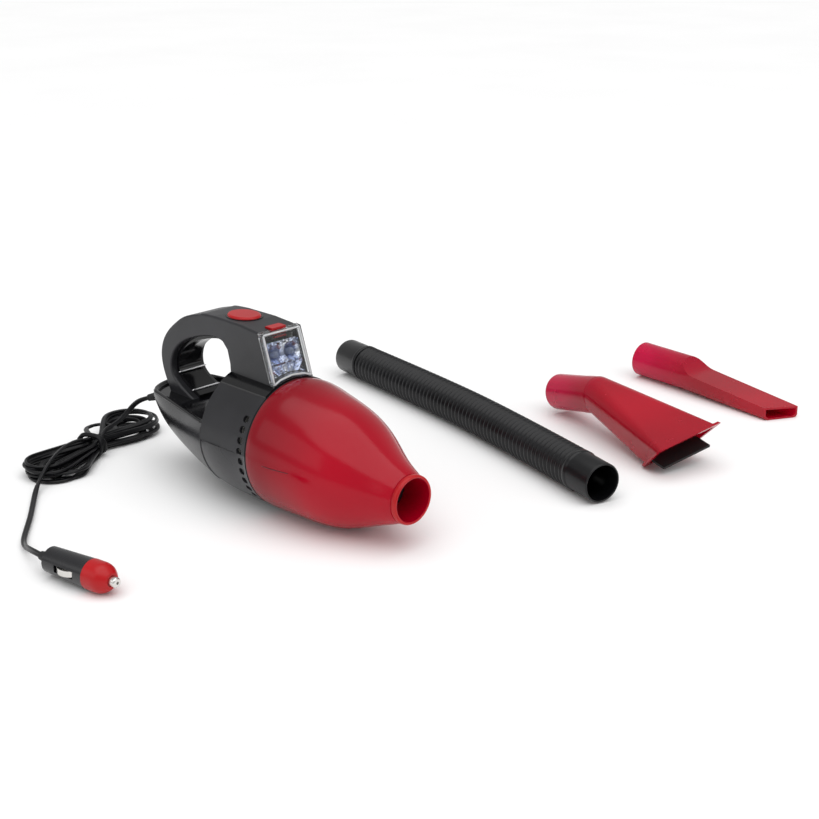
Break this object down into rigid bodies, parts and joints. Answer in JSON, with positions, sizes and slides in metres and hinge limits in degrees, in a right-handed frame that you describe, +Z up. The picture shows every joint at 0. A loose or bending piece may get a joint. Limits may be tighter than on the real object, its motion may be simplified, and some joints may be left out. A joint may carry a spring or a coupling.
{
  "type": "handheld car vacuum cleaner",
  "caption": "Corded handheld vacuum with a loop handle, lamp and clear dust cup, beside its bundled cord and car plug, a corrugated hose, a wide nozzle and a crevice nozzle.",
  "frame": {"origin": "on the resting flat under the barrel, on the vacuum's centre plane, 20 mm behind the joint of barrel and dust cup", "axes": "+X towards the nozzle mouth, +Z up, +Y to the left of someone behind the handle; the accessories lie on the +Y side and the plug on the -Y side"},
  "size_m": [0.4179, 0.6392, 0.1341],
  "materials": {
    "shell_plastic": "satin",
    "gloss_black": "high gloss",
    "red_plastic": "gloss",
    "cup_red_clear": "clear tinted",
    "nozzle_red_clear": "clear tinted",
    "lens_clear": "clear",
    "lamp_clear": "clear",
    "reflector_chrome": "mirror",
    "rubber_black": "matte",
    "steel": "brushed",
    "motor_steel": "plated",
    "copper": "drawn",
    "bearing_bronze": "sintered",
    "magnet": "sintered",
    "carbon": "matte",
    "board_green": "matte",
    "inner_plastic": "matte",
    "filter_plastic": "gloss",
    "filter_cloth": "felted",
    "cord_black": "satin",
    "tie_black": "satin",
    "hose_black": "satin",
    "plug_black": "gloss",
    "plug_metal": "plated",
    "fuse_glass": "clear",
    "wire": "satin"
  },
  "bodies": {
    "housing": {"barrel_top": "shell_plastic", "lower_hull": "shell_plastic", "handle_left": "shell_plastic", "handle_right": "shell_plastic", "tail_deck": "gloss_black", "saddle": "gloss_black", "grip_band": "gloss_black", "housing_screws": "steel", "lens": "lens_clear", "reflector": "reflector_chrome", "lamp_left": "lamp_clear", "lamp_right": "lamp_clear", "lamp_board": "board_green", "lamp_wires": "wire", "switch_bezel": "gloss_black", "switch_base": "plug_black", "switch_spring": "steel", "release_spring": "steel", "motor_can": "motor_steel", "motor_cap": "carbon", "motor_magnets": "magnet", "motor_bearings": "bearing_bronze", "motor_brushes": "carbon", "motor_bracket": "inner_plastic", "fan_cover": "inner_plastic", "cup_seal": "rubber_black", "cord_gland": "rubber_black", "cord_lead_in": "cord_black", "cord_hank": "cord_black", "cord_lead_out": "cord_black", "cord_tie": "tie_black", "plug_sleeve": "rubber_black", "plug_body": "plug_black"},
    "button": {"power_button": "red_plastic"},
    "release": {"release_button": "red_plastic", "release_yoke": "inner_plastic"},
    "rotor": {"motor_shaft": "steel", "armature": "motor_steel", "commutator": "copper", "impeller": "inner_plastic"},
    "cup": {"dust_cup": "cup_red_clear", "flap_pin": "steel"},
    "flap": {"inlet_flap": "rubber_black"},
    "filter": {"filter_frame": "filter_plastic", "filter_cloth": "filter_cloth"},
    "plug_cap": {"plug_cap": "red_plastic"},
    "plug_tip": {"plug_tip": "plug_metal", "plug_fuse": "fuse_glass", "plug_spring": "steel"},
    "plug_contact_left": {"plug_contact_left": "plug_metal"},
    "plug_contact_right": {"plug_contact_right": "plug_metal"},
    "hose": {"hose_tube": "hose_black", "hose_inlet_cuff": "hose_black", "hose_outlet_cuff": "hose_black"},
    "wide_nozzle": {"wide_nozzle": "nozzle_red_clear", "nozzle_blade": "rubber_black"},
    "crevice_nozzle": {"crevice_nozzle": "nozzle_red_clear"}
  },
  "joints": [
    {"name": "power_press", "type": "slide", "parent": "housing", "child": "button", "axis": [0, 0, -1], "range_m": [0, 0.0025], "stiffness_N_per_m": 900, "springref_m": -0.0015, "deforming": ["switch_spring"]},
    {"name": "release_press", "type": "slide", "parent": "housing", "child": "release", "axis": [0, 0, -1], "range_m": [0, 0.0022], "stiffness_N_per_m": 900, "springref_m": -0.0015, "deforming": ["release_spring"]},
    {"name": "rotor_spin", "type": "hinge", "parent": "housing", "child": "rotor", "pos_m": [-0.01, 0, 0.048], "axis": [1, 0, 0], "continuous": true},
    {"name": "cup_pull", "type": "slide", "parent": "housing", "child": "cup", "axis": [1, 0, 0], "range_m": [0, 0.12]},
    {"name": "flap_swing", "type": "hinge", "parent": "cup", "child": "flap", "pos_m": [0.1123, 0, 0.0575], "axis": [0, 1, 0], "range_deg": [0, 60]},
    {"name": "filter_pull", "type": "slide", "parent": "housing", "child": "filter", "axis": [1, 0, 0], "range_m": [0, 0.012]},
    {"name": "cap_twist", "type": "hinge", "parent": "housing", "child": "plug_cap", "pos_m": [0.03678, -0.18417, 0.01065], "axis": [0.9863, 0.165, 0], "range_deg": [0, 720]},
    {"name": "tip_press", "type": "slide", "parent": "housing", "child": "plug_tip", "axis": [-0.9863, -0.165, 0], "range_m": [0, 0.003], "stiffness_N_per_m": 600, "springref_m": -0.002},
    {"name": "contact_left_press", "type": "slide", "parent": "housing", "child": "plug_contact_left", "axis": [0.165, -0.9863, 0], "range_m": [0, 0.0012], "stiffness_N_per_m": 700, "springref_m": -0.001},
    {"name": "contact_right_press", "type": "slide", "parent": "housing", "child": "plug_contact_right", "axis": [-0.165, 0.9863, 0], "range_m": [0, 0.0012], "stiffness_N_per_m": 700, "springref_m": -0.001},
    {"name": "hose_lift", "type": "slide", "parent": "housing", "child": "hose", "axis": [0, 0, 1], "range_m": [0, 0.16]},
    {"name": "wide_nozzle_lift", "type": "slide", "parent": "housing", "child": "wide_nozzle", "axis": [0, 0, 1], "range_m": [0, 0.16]},
    {"name": "crevice_nozzle_lift", "type": "slide", "parent": "housing", "child": "crevice_nozzle", "axis": [0, 0, 1], "range_m": [0, 0.16]}
  ]
}
